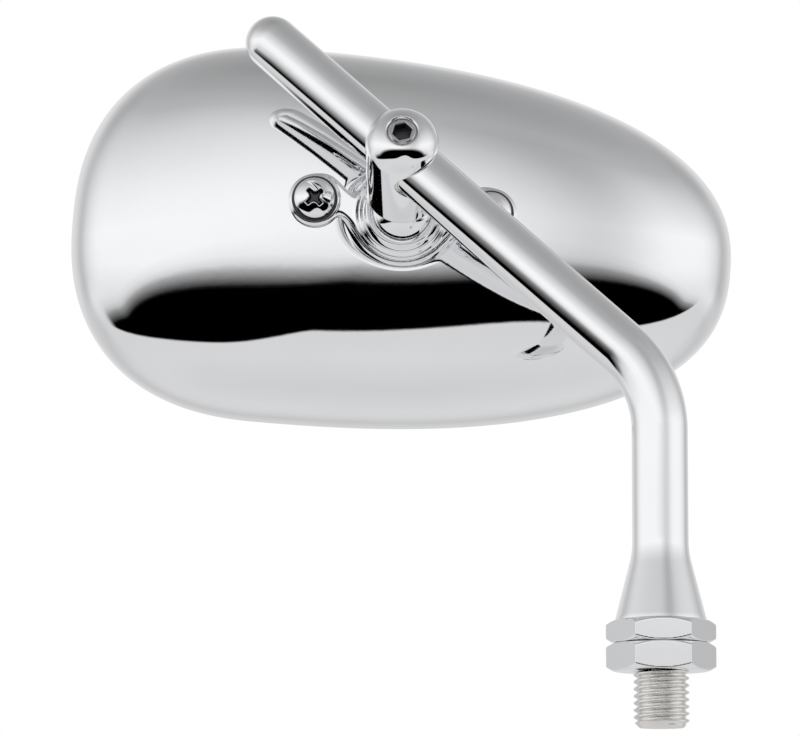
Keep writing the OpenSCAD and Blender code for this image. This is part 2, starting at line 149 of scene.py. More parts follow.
# Grid cells of the meshes made from distances
CELL = 0.2
HEX_CELL = 0.15
FINE_CELL = 0.1

# Camera and stage, in metres
CAMERA_ELEVATION = math.radians(-7.5)
CAMERA_DISTANCE = 0.9
CAMERA_TARGET = Vector((-0.0463, 0.0, 0.0542))
FRAME_WIDTH = 0.14286
FLOOR_Z = -0.6
FLOOR_HALF = 9.0

# Name, place and power of each lamp
LAMPS = (
    ("key", (-0.7, -0.9, 1.1), 6.0),
    ("fill", (0.9, -0.6, 0.5), 3.0),
    ("back", (0.1, 1.1, 0.8), 3.5))
LAMP_SIZE = 0.9
SOFT_LIGHT = (0.78, 0.78, 0.79, 1)

# Studio that metal mirrors: heights in degrees above the horizon, bearings in degrees from the front
TENT = ((-90, 0.66), (-50, 0.72), (-20, 0.69), (0, 0.97), (10, 1.0),
        (20, 0.84), (32, 0.68), (45, 0.49), (60, 0.40), (90, 0.31))
GAP_REACH = 75
GAP_ENDS = (1.28, 1.42)
GAP_TOP = -4
GAP_TOP_AT_ENDS = -21.5
GAP_TOP_POWER = 1.7
GAP_TOP_LIMIT = (0.98, 0.12)
GAP_FLOOR = -38
GAP_FLOOR_RISE = 4
GAP_FLOOR_RISE_RIGHT = 6
GAP_FLOOR_POWER = 4.0
GAP_SWELL = 13.5
GAP_SWELL_AT = (8, 14)
GAP_SOFT_TOP = 14
GAP_FADE = ((0.0, 1.0), (0.07, 0.99), (0.21, 0.84), (0.4, 0.57), (0.52, 0.25), (0.66, 0.09), (0.9, 0.0))
STRIPES = ((23, 13, 0.30), (122, 17, 0.32), (-119, 14, 0.30))
STRIPE_LAYER = (-12, 0, 30, 60)
BEHIND_FROM = (1.45, 1.7)
BEHIND_LAYER = (-40, -6, 8, 28)
BEHIND_GREY = 0.24

LEG = Vector(JOINTS["post_slide"]["axis"]).normalized()
CLAMP = Vector(JOINTS["post_swing"]["pos_m"])
BALL = Vector(JOINTS["head_tilt"]["pos_m"])
POST = (CLAMP - BALL).normalized()
CORNER = CLAMP - LEG * (CLAMP.x / LEG.x)
LEAN = math.acos(LEG.z)
LEAN_WAY = Vector((LEG.x, LEG.y, 0)).normalized()


# Frames of the parts: millimetres in the part's own axes to metres in the row frame
def placed(origin, x_axis, y_axis, z_axis):
    turn = Matrix((x_axis, y_axis, z_axis)).transposed().to_4x4()
    return Matrix.Translation(origin) @ turn @ Matrix.Scale(MM, 4)


FOOT_FRAME = Matrix.Scale(MM, 4)
POST_FRAME = placed(BALL, -LEG, POST.cross(-LEG), POST)
HEAD_FRAME = Matrix.Translation(BALL) @ Matrix.Rotation(HEAD_ROLL, 4, "Y") @ Matrix.Scale(MM, 4)


def ear_frame(side):
    """Axes at a screw: its own z runs from the head of the screw into the head of the mirror."""
    local = Matrix.Translation((side * EAR_X, 0, EAR_Z)) @ Matrix.Rotation(math.radians(-90), 4, "X")
    return HEAD_FRAME @ local


# Meshes
def new_mesh(name, points, faces, matrix, smooth=True, turned=False):
    """Object whose points are given in a part's own millimetres; turned swaps inside and outside."""
    mesh = bpy.data.meshes.new(name)
    mesh.from_pydata([tuple(p) for p in points], [], [tuple(f) for f in faces])
    mesh.transform(matrix)
    if turned:
        mesh.flip_normals()
    mesh.validate()
    mesh.update()
    if smooth:
        mesh.shade_smooth()
    piece = bpy.data.objects.new(name, mesh)
    bpy.context.scene.collection.objects.link(piece)
    return piece


def join(name, pieces):
    """One object from several."""
    for other in bpy.context.selected_objects:
        other.select_set(False)
    for piece in pieces:
        piece.select_set(True)
    bpy.context.view_layer.objects.active = pieces[0]
    bpy.ops.object.join()
    pieces[0].name = name
    return pieces[0]


def recess_with_painted_shade(piece, matrix, outer, inner, painted_shade_mask):
    """Outer material on the piece and inner material on a recess, which paints shade into the recess: the
    last argument tells the recess by a face's middle.
    """
    back = matrix.inverted()
    piece.data.materials.append(outer)
    piece.data.materials.append(inner)
    for face in piece.data.polygons:
        face.material_index = int(painted_shade_mask(back @ face.center))


def circle(radius, z, around):
    """Points of a ring about the z axis; radius is a number or one number for each point."""
    angles = np.arange(around) * FULL_TURN / around
    return np.stack([radius * np.cos(angles), radius * np.sin(angles), np.full(around, z)], axis=1)


def ring_faces(rings, around, closed=False):
    """Quads between rings of points, each with the same number of points."""
    faces = []
    last = rings if closed else rings - 1
    for i in range(last):
        here = i * around
        there = (i + 1) % rings * around
        for j in range(around):
            k = (j + 1) % around
            faces.append((here + j, here + k, there + k, there + j))
    return faces


def capped_rings(rings):
    """Points and faces of a closed skin through rings, with a fan at each end."""
    around = len(rings[0])
    points = np.concatenate(rings)
    faces = ring_faces(len(rings), around)
    first = len(points)
    points = np.concatenate([points, [rings[0].mean(axis=0)], [rings[-1].mean(axis=0)]])
    start = (len(rings) - 1) * around
    for j in range(around):
        k = (j + 1) % around
        faces.append((first, k, j))
        faces.append((first + 1, start + j, start + k))
    return points, faces


def closed_sweep(name, rings, matrix, turned=False):
    """Ring-shaped piece whose closed section runs through rings."""
    faces = ring_faces(len(rings), len(rings[0]), closed=True)
    return new_mesh(name, np.concatenate(rings), faces, matrix, turned=turned)


# Signed distances, in millimetres, negative inside
def smooth_min(a, b, k):
    h = np.clip(0.5 + 0.5 * (b - a) / k, 0, 1)
    return b * (1 - h) + a * h - k * h * (1 - h)


def smooth_max(a, b, k):
    return -smooth_min(-a, -b, k)


def sphere_sdf(p, radius):
    return np.linalg.norm(p, axis=-1) - radius


def slab(value, low, high):
    """Distance to the layer between low and high."""
    return np.maximum(low - value, value - high)


def capsule_2d(x, z, ax, az, bx, bz, radius):
    dx, dz = bx - ax, bz - az
    t = np.clip(((x - ax) * dx + (z - az) * dz) / (dx * dx + dz * dz), 0, 1)
    return np.hypot(x - ax - t * dx, z - az - t * dz) - radius


def hexagon_2d(x, y, af):
    distance = np.full_like(x, -np.inf)
    for turn in range(6):
        angle = math.radians(30 + 60 * turn)
        distance = np.maximum(distance, x * math.cos(angle) + y * math.sin(angle))
    return distance - af / 2


def quarter_round(radius, z, side, end, corner):
    """Distance to a bar of radius side whose end, at height end, is rounded by corner."""
    out = radius - (side - corner)
    over = z - (end - corner)
    inner = np.minimum(np.maximum(out, over), 0)
    return np.hypot(np.maximum(out, 0), np.maximum(over, 0)) + inner - corner


# Meshes from signed distances
def net_points(field, low, cell):
    """A point in each cell of the grid that the surface crosses, and the numbers of those cells."""
    inside = field < 0
    n = np.array(field.shape) - 1
    shifts = [(i, j, k) for i in (0, 1) for j in (0, 1) for k in (0, 1)]

    def corner(array, shift):
        return array[tuple(slice(s, s + m) for s, m in zip(shift, n))]

    count = sum(corner(inside, shift).astype(np.int8) for shift in shifts)
    active = (count > 0) & (count < len(shifts))
    index = np.full(active.shape, -1, dtype=np.int64)
    index[active] = np.arange(active.sum())
    total = np.zeros((active.sum(), 3))
    weight = np.zeros(active.sum())
    for a in shifts:
        for axis in range(3):
            if a[axis]:
                continue
            b = tuple(v + (i == axis) for i, v in enumerate(a))
            fa = corner(field, a)[active]
            fb = corner(field, b)[active]
            crosses = (fa < 0) != (fb < 0)
            t = fa[crosses] / (fa[crosses] - fb[crosses])
            step = np.repeat([a], crosses.sum(), axis=0).astype(float)
            step[:, axis] += t
            total[crosses] += step
            weight[crosses] += 1
    return (np.argwhere(active) + total / weight[:, None]) * cell + low, index


def net_quads(inside, index):
    """A quad round each edge of the grid that the surface crosses, facing outwards."""
    n = index.shape
    quads = []
    for axis in range(3):
        u, v = (axis + 1) % 3, (axis + 2) % 3
        ahead = [slice(None)] * 3
        behind = [slice(None)] * 3
        ahead[axis] = slice(1, None)
        behind[axis] = slice(None, -1)
        cells = np.argwhere(inside[tuple(behind)] != inside[tuple(ahead)])
        within = (cells[:, u] > 0) & (cells[:, v] > 0) & (cells[:, u] < n[u]) & (cells[:, v] < n[v])
        cells = cells[within]
        outward = inside[tuple(cells.T)]
        loop = []
        for du, dv in ((1, 1), (0, 1), (0, 0), (1, 0)):
            shifted = cells.copy()
            shifted[:, u] -= du
            shifted[:, v] -= dv
            loop.append(index[tuple(shifted.T)])
        loop = np.stack(loop, axis=1)
        loop[~outward] = loop[~outward][:, ::-1]
        quads.append(loop)
    return np.concatenate(quads)


def gradient(sdf, points, step=0.01):
    slopes = []
    for axis in range(3):
        shift = np.zeros(3)
        shift[axis] = step
        slopes.append((sdf(points + shift) - sdf(points - shift)) / (2 * step))
    return np.stack(slopes, axis=1)


def solid_piece(name, sdf, low, high, cell, matrix):
    """Closed mesh of a solid given by its signed distance, with exact surface normals."""
    passes = 4
    least_slope = 0.25
    axes = [np.arange(a, b + cell, cell) for a, b in zip(low, high)]
    grid = np.stack(np.meshgrid(*axes, indexing="ij"), axis=-1)
    field = sdf(grid)
    points, index = net_points(field, np.array(low, dtype=float), cell)
    quads = net_quads(field < 0, index)
    for _ in range(passes):
        slope = gradient(sdf, points)
        size = np.maximum((slope ** 2).sum(axis=1), least_slope)
        move = sdf(points)[:, None] * slope / size[:, None]
        points = points - np.clip(move, -cell / 2, cell / 2)
    piece = new_mesh(name, points, quads, matrix)
    normals = gradient(sdf, points)
    normals /= np.maximum(np.linalg.norm(normals, axis=1), 1e-9)[:, None]
    turn = np.array(matrix.to_3x3().normalized())
    if len(piece.data.vertices) == len(points):
        piece.data.normals_split_custom_set_from_vertices((normals @ turn.T).tolist())
    return piece


# Head outline and dome
def egg(angles, inset):
    """Points of the head's outline, pulled in by inset, about the ball's centre."""
    cosine, sine = np.cos(angles), np.sin(angles)
    reach = np.where(cosine < 0, inset - HEAD_LEFT, HEAD_RIGHT - inset)
    x = -WIDEST_X + reach * np.abs(cosine) ** (2 / HEAD_POWER)
    z = -AXIS_DROP + np.sign(sine) * (HEAD_HALF_H - inset) * np.abs(sine) ** (2 / HEAD_POWER)
    return x, z


def outline(inset):
    """Evenly spaced points of the outline."""
    x, z = egg(np.linspace(0, FULL_TURN, OUTLINE_STEPS + 1), inset)
    length = np.concatenate([[0], np.cumsum(np.hypot(np.diff(x), np.diff(z)))])
    stops = np.arange(OUTLINE_POINTS) * length[-1] / OUTLINE_POINTS
    return np.interp(stops, length, x), np.interp(stops, length, z)


def outline_reach(x, z, inset):
    """Distance from the ball to the outline in the direction of each point."""
    ex, ez = egg(np.linspace(0, FULL_TURN, OUTLINE_STEPS + 1)[:-1], inset)
    bearing = np.mod(np.arctan2(ez, ex), FULL_TURN)
    order = np.argsort(bearing)
    wanted = np.mod(np.arctan2(z, x), FULL_TURN)
    return np.interp(wanted, bearing[order], np.hypot(ex, ez)[order], period=FULL_TURN)


def dome_depth(rho, inset=0.0):
    """Depth of the dome at a share of the way from the ball's axis to the outline."""
    fall = 1 - (1 - np.clip(rho, 0, 1) ** DOME_FLAT) ** (1 / DOME_FULL)
    return DOME_GAP + inset + (DOME_DEPTH - inset) * fall


def dome_at(x, z):
    """Depth of the dome's surface below each point."""
    return dome_depth(np.hypot(x, z) / outline_reach(x, z, 0.0))


EAR_SURFACE = min(
    float(dome_at(np.array(side * (EAR_X - EAR_SEAT_R)), np.array(EAR_Z)))
    for side in (-1, 1))
EAR_SEAT = EAR_SURFACE - PLATE_T - EAR_STEP
HEAD_SEAT = EAR_SEAT - WASHER_T


def dome_rings(inset, count):
    """Rings of the dome from the edge of its middle hole to the rim."""
    x, z = outline(inset)
    start = SHELL_HOLE_R / np.hypot(x, z)
    rings = []
    for i in range(count + 1):
        angle = math.pi / 2 * i / count
        share = start + (1 - start) * math.sin(angle) ** (2 / DOME_FLAT)
        if i == count:
            share = np.ones_like(start)
        rings.append(np.stack([x * share, dome_depth(share, inset), z * share], axis=1))
    return rings


def flat_ring(inset, depth):
    x, z = outline(inset)
    return np.stack([x, np.full_like(x, depth), z], axis=1)


def arc_rings(inset, depth, radius, start, stop):
    """Rings round a rolled edge whose centre lies at inset and depth."""
    rings = []
    for angle in np.radians(np.linspace(start, stop, ARC_STEPS)):
        rings.append(flat_ring(inset - radius * math.cos(angle), depth + radius * math.sin(angle)))
    return rings


def build_shell():
    """Dome with a straight rim that rolls over into the lip round the glass, and its inner skin."""
    lip_round = SHELL_WALL / 2
    inner_step = 0.4
    outer_rows = 56
    inner_rows = 40
    rings = dome_rings(0.0, outer_rows)
    rings += [flat_ring(0.0, DOME_RIM + share * (RIM_H - RIM_ROLL)) for share in (0.35, 0.7)]
    rings += arc_rings(RIM_ROLL, RIM_FRONT - RIM_ROLL, RIM_ROLL, 0, 90)
    rings += arc_rings(LIP_W - lip_round, RIM_FRONT - lip_round, lip_round, 90, 270)
    rings += [flat_ring(SHELL_WALL, LIP_BACK), flat_ring(SHELL_WALL, DOME_RIM + inner_step)]
    rings += dome_rings(SHELL_WALL, inner_rows)[::-1]
    return closed_sweep("plated_shell", rings, HEAD_FRAME, turned=True)


def build_gasket():
    """Rubber channel round the edge of the glass, with a bead on the glass's face."""
    bead = 0.34
    rim_gap = 0.55
    lip_gap = 0.05
    edge_gap = 0.02
    face_gap = 0.01
    back_t = 0.5
    outer = SHELL_WALL + rim_gap
    inner = GLASS_INSET + edge_gap
    lap = GLASS_INSET + GASKET_LAP
    loop = [(outer, GLASS_BACK - back_t), (outer, LIP_BACK - lip_gap)]
    for angle in np.radians(np.linspace(120, -60, ARC_STEPS)):
        loop.append((lap - bead + bead * math.cos(angle), GLASS_FRONT + bead + bead * math.sin(angle)))
    loop += [(inner, GLASS_FRONT + face_gap), (inner, GLASS_BACK), (lap, GLASS_BACK),
             (lap, GLASS_BACK - back_t)]
    rings = [flat_ring(inset, depth) for inset, depth in loop]
    return closed_sweep("rubber_ring", rings, HEAD_FRAME, turned=True)


def build_glass():
    """Flat glass with a fine ground bevel all round."""
    bevel = 0.35
    middle = 12
    loop = [(GLASS_INSET + middle, GLASS_BACK), (GLASS_INSET + bevel, GLASS_BACK),
            (GLASS_INSET, GLASS_BACK + bevel), (GLASS_INSET, GLASS_FRONT - bevel),
            (GLASS_INSET + bevel, GLASS_FRONT), (GLASS_INSET + middle, GLASS_FRONT)]
    points, faces = capped_rings([flat_ring(inset, depth) for inset, depth in loop])
    return new_mesh("mirror_plate", points, faces, HEAD_FRAME, smooth=False, turned=True)


# Foot and stem
def build_thread():
    """Rolled thread on the exposed stud, with a rounded crest and root and a chamfered end."""
    around, rows = 120, 150
    overlap = 0.2
    crest_width = 1.25
    root_width = 0.12
    chamfer = 1.0
    angles = np.arange(around) * FULL_TURN / around
    rings = []
    for row in range(rows + 1):
        z = -STUD_L + (STUD_L + overlap) * row / rows
        wave = 0.5 + 0.5 * np.cos(FULL_TURN * (z / THREAD_PITCH - angles / FULL_TURN))
        shape = np.clip(wave * crest_width - root_width, 0, 1)
        radius = STUD_R - THREAD_DEPTH * (1 - shape)
        limit = STUD_R - chamfer + (z + STUD_L)
        rings.append(circle(np.minimum(radius, limit), z, around))
    points, faces = capped_rings(rings)
    return new_mesh("stud_thread", points, faces, FOOT_FRAME)


def hex_sdf(p, low, high):
    """Hexagon with turned chamfers on both faces."""
    edge = 0.2
    chamfer_edge = 0.22
    slope = math.radians(30)
    x, y, z = p[..., 0], p[..., 1], p[..., 2]
    body = smooth_max(hexagon_2d(x, y, HEX_AF), slab(z, low, high), edge)
    past_corner = (np.hypot(x, y) - HEX_AF / math.sqrt(3)) * math.sin(slope)
    above = (z - high + HEX_CHAMFER) * math.cos(slope) + past_corner
    below = (low + HEX_CHAMFER - z) * math.cos(slope) + past_corner
    return smooth_max(body, np.maximum(above, below), chamfer_edge)


def hex_piece(name, sdf, low, high):
    margin = 0.5
    return solid_piece(name, sdf, (-HEX_BOX_X, -HEX_BOX_Y, low - margin),
                       (HEX_BOX_X, HEX_BOX_Y, high + margin), HEX_CELL, FOOT_FRAME)


def build_lock_nut():
    """Hexagon nut with a countersunk bore."""
    countersink_w = 0.5
    bore_edge = 0.1

    def sdf(p):
        radius = np.hypot(p[..., 0], p[..., 1])
        countersink = NUT_BORE_R + countersink_w - radius - p[..., 2]
        bore = np.maximum(NUT_BORE_R - radius, countersink)
        return smooth_max(hex_sdf(p, 0, NUT_H), bore, bore_edge)

    return hex_piece("foot_nut", sdf, 0, NUT_H)


def build_stem_hex():
    low, high = NUT_H, NUT_H + STEM_HEX_H
    return hex_piece("stem_hex", lambda p: hex_sdf(p, low, high), low, high)


def stem_stations():
    """Centre, lean and radius of the stem's sections: cone, riser, bend, upper leg and round end."""
    hex_top = NUT_H + STEM_HEX_H
    cone_low = hex_top + CONE_FOOT
    cone_top = hex_top + CONE_H
    cone_blend = 0.5
    riser = CORNER.z / MM
    tangent = BEND_R * math.tan(LEAN / 2)
    stations = [
        (UP * (NUT_H + 0.5), 0.0, CONE_R - 1.5),
        (UP * (hex_top - 0.05), 0.0, CONE_R - 0.3),
        (UP * hex_top, 0.0, CONE_R),
        (UP * cone_low, 0.0, CONE_R)]
    for share in np.linspace(0.06, 1.12, 22):
        straight = CONE_R + (STEM_R - CONE_R) * share
        radius = float(smooth_max(straight, STEM_R, cone_blend))
        stations.append((UP * (cone_low + CONE_H * share), 0.0, radius))
    for z in np.linspace(cone_top + 3, riser - tangent, 8):
        stations.append((UP * z, 0.0, STEM_R))
    for angle in np.linspace(0, LEAN, 33)[1:]:
        offset = LEAN_WAY * (BEND_R * (1 - math.cos(angle))) + UP * (BEND_R * math.sin(angle))
        stations.append((UP * (riser - tangent) + offset, angle, STEM_R))
    for distance in np.linspace(tangent, LEG_L, 24)[1:]:
        stations.append((UP * riser + LEG * distance, LEAN, STEM_R))
    for angle in np.radians(np.linspace(0, 88, 16))[1:]:
        distance = LEG_L + STEM_R * math.sin(angle)
        stations.append((UP * riser + LEG * distance, LEAN, STEM_R * math.cos(angle)))
    return stations


def build_stem_bar():
    """The stem above its hexagon as one swept skin."""
    around = 96
    turn = np.arange(around) * FULL_TURN / around
    side = np.array(UP.cross(LEAN_WAY))
    rings = []
    for centre, angle, radius in stem_stations():
        out = np.array(LEAN_WAY * math.cos(angle) - UP * math.sin(angle))
        ring = (np.array(centre)[None, :] + radius * np.cos(turn)[:, None] * out
                + radius * np.sin(turn)[:, None] * side)
        rings.append(ring)
    points, faces = capped_rings(rings)
    return new_mesh("stem_bar", points, faces, FOOT_FRAME)


# Swivel post
def build_post():
    """Ball, neck and barrel, with the cross bore for the stem and the set screw's hole."""
    ball_blend = 0.5
    bore_edge = 0.35
    hole_edge = 0.2
    mouth_edge = 0.12
    mouth_depth = 0.5

    def sdf(p):
        x, y, z = p[..., 0], p[..., 1], p[..., 2]
        radius = np.hypot(x, y)
        top = quarter_round(radius, z, POST_R, POST_L, POST_ROUND)
        shoulder = quarter_round(radius, -z, POST_R, -SHOULDER_AT, SHOULDER_ROUND)
        neck = np.maximum(radius - NECK_R, slab(z, 0, SHOULDER_AT + 1))
        solid = smooth_min(sphere_sdf(p, BALL_R), neck, ball_blend)
        solid = smooth_min(solid, np.maximum(top, shoulder), NECK_FLARE)
        solid = smooth_max(solid, CROSS_BORE_R - np.hypot(y, z - CROSS_BORE_AT), bore_edge)
        hole = np.minimum(SET_HOLE_R - radius, z - CROSS_BORE_AT)
        solid = smooth_max(solid, hole, hole_edge)
        mouth = (SET_HOLE_R - radius + z - POST_L + mouth_depth) * math.sqrt(0.5)
        return smooth_max(solid, np.minimum(mouth, z - CROSS_BORE_AT), mouth_edge)

    low, high = (-7.4, -7.4, -6.8), (7.4, 7.4, POST_L + 0.6)
    return solid_piece("swivel_post", sdf, low, high, CELL, POST_FRAME)


def build_set_screw():
    """Set screw with a hexagon socket, a bevelled end and a chamfer into the socket."""
    tip = CROSS_BORE_AT + CROSS_BORE_R
    end = tip + SET_SCREW_L
    body_edge = 0.15
    bevel_w = 0.4
    lead_w = 0.5
    socket_edge = 0.08
    lead_edge = 0.06

    def sdf(p):
        x, y, z = p[..., 0], p[..., 1], p[..., 2]
        radius = np.hypot(x, y)
        body = smooth_max(radius - SET_SCREW_R, slab(z, tip, end), body_edge)
        bevel = (radius - SET_SCREW_R + z - end + bevel_w) * math.sqrt(0.5)
        body = np.maximum(body, bevel)
        socket = np.maximum(hexagon_2d(x, y, SOCKET_AF), end - SOCKET_H - z)
        lead = hexagon_2d(x, y, SOCKET_AF + lead_w) - (z - end)
        return smooth_max(smooth_max(body, -socket, socket_edge), -lead, lead_edge)

    # Faces inside the socket get the near-black steel as painted shade; the rest of the screw is plain
    # steel.
    def socket_painted_shade(p):
        return math.hypot(p.x, p.y) < SOCKET_AF * 0.62 and p.z < end - 0.08

    low, high = (-3.1, -3.1, tip - 0.3), (3.1, 3.1, end + 0.3)
    piece = solid_piece("grub_screw", sdf, low, high, FINE_CELL, POST_FRAME)
    recess_with_painted_shade(piece, POST_FRAME, STEEL, PAINTED_SHADE_STEEL, socket_painted_shade)
    return piece


# Bracket
def bracket_outline(x, z):
    """Distance, seen from the front, to the two ears, the arms that carry them and the round base."""
    ear_blend = 1.8
    base_blend = 2.2
    side = np.abs(x)
    arm = capsule_2d(side, z, EAR_X - ARM_END_IN, EAR_Z + ARM_END_UP, ARM_ROOT_OUT, -ARM_ROOT_DOWN, ARM_R)
    ear = np.hypot(side - EAR_X, z - EAR_Z) - EAR_R
    base = np.hypot(x, z) - BASE_R - BASE_EDGE
    return smooth_min(smooth_min(arm, ear, ear_blend), base, base_blend)


def bracket_solid(p, depth):
    """Curved plate on the dome, with the collar, its skirt and the flat seats under the screws."""
    plate_edge = 0.7
    collar_back = 1.2
    collar_blend = 1.3
    skirt_in = 0.15
    skirt_from = 0.1
    skirt_share = 0.1
    skirt_edge = 0.3
    skirt_blend = 1.2
    seat_short = 0.3
    seat_edge = 0.3
    seat_blend = 0.5
    x, y, z = p[..., 0], p[..., 1], p[..., 2]
    thick = np.abs(y - (depth - PLATE_T / 2)) - PLATE_T / 2
    plate = smooth_max(bracket_outline(x, z), thick, plate_edge)
    collar = np.maximum(sphere_sdf(p, BALL_R + COLLAR_WALL), y - collar_back)
    skirt_side = np.hypot(x, z) - BASE_R + skirt_in
    skirt = smooth_max(skirt_side, slab(y, skirt_from, dome_depth(skirt_share)), skirt_edge)
    solid = smooth_min(smooth_min(plate, collar, collar_blend), skirt, skirt_blend)
    seat_side = np.hypot(np.abs(x) - EAR_X, z - EAR_Z) - EAR_SEAT_R
    seat = smooth_max(seat_side, slab(y, EAR_SEAT, EAR_SURFACE - seat_short), seat_edge)
    return smooth_min(solid, seat, seat_blend)


def bracket_sdf(p):
    """The bracket, cut to the dome and opened for the ball, the post's neck and the screws."""
    dome_gap = 0.02
    mouth_edge = 0.35
    socket_gap = 0.05
    socket_edge = 0.15
    throat_from = 0.9
    x, y, z = p[..., 0], p[..., 1], p[..., 2]
    radius = np.hypot(x, z)
    depth = dome_at(x, z)
    solid = np.maximum(bracket_solid(p, depth), y - depth + dome_gap)
    cone = radius * math.cos(COLLAR_ANGLE) + y * math.sin(COLLAR_ANGLE)
    solid = smooth_max(solid, -cone, mouth_edge)
    solid = smooth_max(solid, -sphere_sdf(p, BALL_R + socket_gap), socket_edge)
    solid = np.maximum(solid, -np.maximum(radius - THROAT_R, throat_from - y))
    hole = np.hypot(np.abs(x) - EAR_X, z - EAR_Z) - SCREW_R - SCREW_GAP
    return np.maximum(solid, -hole)


def build_bracket():
    low, high = (-22.3, -8.2, -9.6), (22.3, 5.4, 9.6)
    return solid_piece("ear_bracket", bracket_sdf, low, high, CELL, HEAD_FRAME)


def build_screw(name, side):
    """Pan head screw with a cross recess that narrows to its floor."""
    top = HEAD_SEAT - SCREW_HEAD_H
    crown = 7.5
    head_edge = 0.7
    diagonal = math.cos(math.radians(45))
    narrowing = 0.35
    centre_r = 1.0
    centre_blend = 0.35
    recess_edge = 0.2
    shank_in_head = 0.5
    shank_edge = 0.3

    def sdf(p):
        x, y, z = p[..., 0], p[..., 1], p[..., 2]
        radius = np.hypot(x, y)
        dome = np.hypot(radius, np.minimum(z - (top + crown), 0)) - crown
        head = smooth_max(radius - SCREW_HEAD_R, np.maximum(z - HEAD_SEAT, dome), head_edge)
        u = np.abs(x + y) * diagonal
        v = np.abs(y - x) * diagonal
        depth = z - top
        taper = 1 - narrowing * depth / RECESS_H
        along = np.maximum(u, v) - RECESS_L / 2 * taper
        across = np.minimum(u, v) - RECESS_W / 2 * taper
        blade = smooth_max(along, across, recess_edge)
        cross = smooth_min(blade, radius - centre_r * taper, centre_blend)
        cross = smooth_max(cross, depth - RECESS_H, recess_edge)
        head = smooth_max(head, -cross, recess_edge)
        length = slab(z, HEAD_SEAT - shank_in_head, HEAD_SEAT + SCREW_L)
        return np.minimum(head, smooth_max(radius - SCREW_R, length, shank_edge))

    # Faces inside the cross recess get the near-black steel as painted shade; the rest of the screw is
    # chrome.
    def recess_painted_shade(p):
        out = math.hypot(p.x, p.y)
        crown_z = top + crown - math.sqrt(crown ** 2 - min(out, SCREW_HEAD_R) ** 2)
        return out < RECESS_L / 2 + 0.1 and crown_z + 0.12 < p.z < top + RECESS_H + 0.1

    matrix = ear_frame(side)
    low, high = (-4.2, -4.2, top - 0.4), (4.2, 4.2, HEAD_SEAT + 12.3)
    piece = solid_piece(name, sdf, low, high, FINE_CELL, matrix)
    recess_with_painted_shade(piece, matrix, CHROME, PAINTED_SHADE_STEEL, recess_painted_shade)
    return piece


def build_washer(name, side):
    """Flat washer with rounded edges."""
    edge = 0.12
    around = 72
    inner = SCREW_R + SCREW_GAP
    rings = []
    for centre_r, centre_z, start in (
            (WASHER_R - edge, edge, -90), (WASHER_R - edge, WASHER_T - edge, 0),
            (inner + edge, WASHER_T - edge, 90), (inner + edge, edge, 180)):
        for angle in np.radians(np.linspace(start, start + 90, 4)):
            height = HEAD_SEAT + centre_z + edge * math.sin(angle)
            rings.append(circle(centre_r + edge * math.cos(angle), height, around))
    return closed_sweep(name, rings, ear_frame(side))


# Materials
class Nodes:
    """Short calls for building a node tree."""

    def __init__(self, tree):
        self.tree = tree
        tree.nodes.clear()

    def add(self, kind, inputs=None, **settings):
        node = self.tree.nodes.new(kind)
        for key, value in settings.items():
            setattr(node, key, value)
        for key, value in (inputs or {}).items():
            if isinstance(value, bpy.types.NodeSocket):
                self.tree.links.new(value, node.inputs[key])
            else:
                node.inputs[key].default_value = value
        return node

    def math(self, operation, a, b=0.0, c=0.0):
        node = self.add("ShaderNodeMath", {0: a, 1: b, 2: c}, operation=operation)
        return node.outputs[0]

    def times(self, a, b):
        return self.math("MULTIPLY", a, b)

    def less(self, a, b):
        return self.math("SUBTRACT", a, b)

    def fade(self, value, low, high):
        """0 below low, 1 above high, and a smooth step between."""
        node = self.add("ShaderNodeMapRange", {"Value": value, "From Min": low, "From Max": high},
                        interpolation_type="SMOOTHSTEP")
        return node.outputs["Result"]

    def mix(self, share, a, b):
        """Number that runs from a to b."""
        return self.math("MULTIPLY_ADD", share, self.less(b, a), a)

    def mix_colour(self, share, a, b, blend="MIX"):
        """Colour that runs from a to b; the node's inputs 6 and 7 are its two colours."""
        node = self.add("ShaderNodeMix", {"Factor": share, 6: a, 7: b}, data_type="RGBA", blend_type=blend)
        return node.outputs[2]

    def ramp(self, value, stops):
        node = self.add("ShaderNodeValToRGB", {"Fac": value})
        elements = node.color_ramp.elements
        while len(elements) < len(stops):
            elements.new(0.5)
        for element, (place, colour) in zip(elements, stops):
            element.position = place
            element.color = (*colour, 1)
        return node.outputs["Color"]


def new_material(name):
    material = bpy.data.materials.new(name)
    material.use_nodes = True
    return material, Nodes(material.node_tree)


def surface_material(name, colour, rough, metallic, scale, bump, spread, coat=0.0):
    """Finish with fine variation of colour, gloss and height."""
    material, nodes = new_material(name)
    place = nodes.add("ShaderNodeTexCoord").outputs["Object"]
    noise = nodes.add("ShaderNodeTexNoise",
                      {"Vector": place, "Scale": scale, "Detail": 4.0, "Roughness": 0.55})
    value = noise.outputs["Fac"]
    dark = tuple(c * (1 - spread) for c in colour)
    fine = nodes.add("ShaderNodeTexNoise", {"Vector": place, "Scale": scale * 6, "Detail": 3.0})
    lift = nodes.add("ShaderNodeBump",
                     {"Height": fine.outputs["Fac"], "Strength": bump, "Distance": 0.0002})
    shader = nodes.add("ShaderNodeBsdfPrincipled", {
        "Base Color": nodes.ramp(value, [(0.3, dark), (0.7, colour)]),
        "Roughness": nodes.mix(value, *rough),
        "Metallic": metallic,
        "Normal": lift.outputs["Normal"],
        "Coat Weight": coat})
    nodes.add("ShaderNodeOutputMaterial", {"Surface": shader.outputs["BSDF"]})
    return material


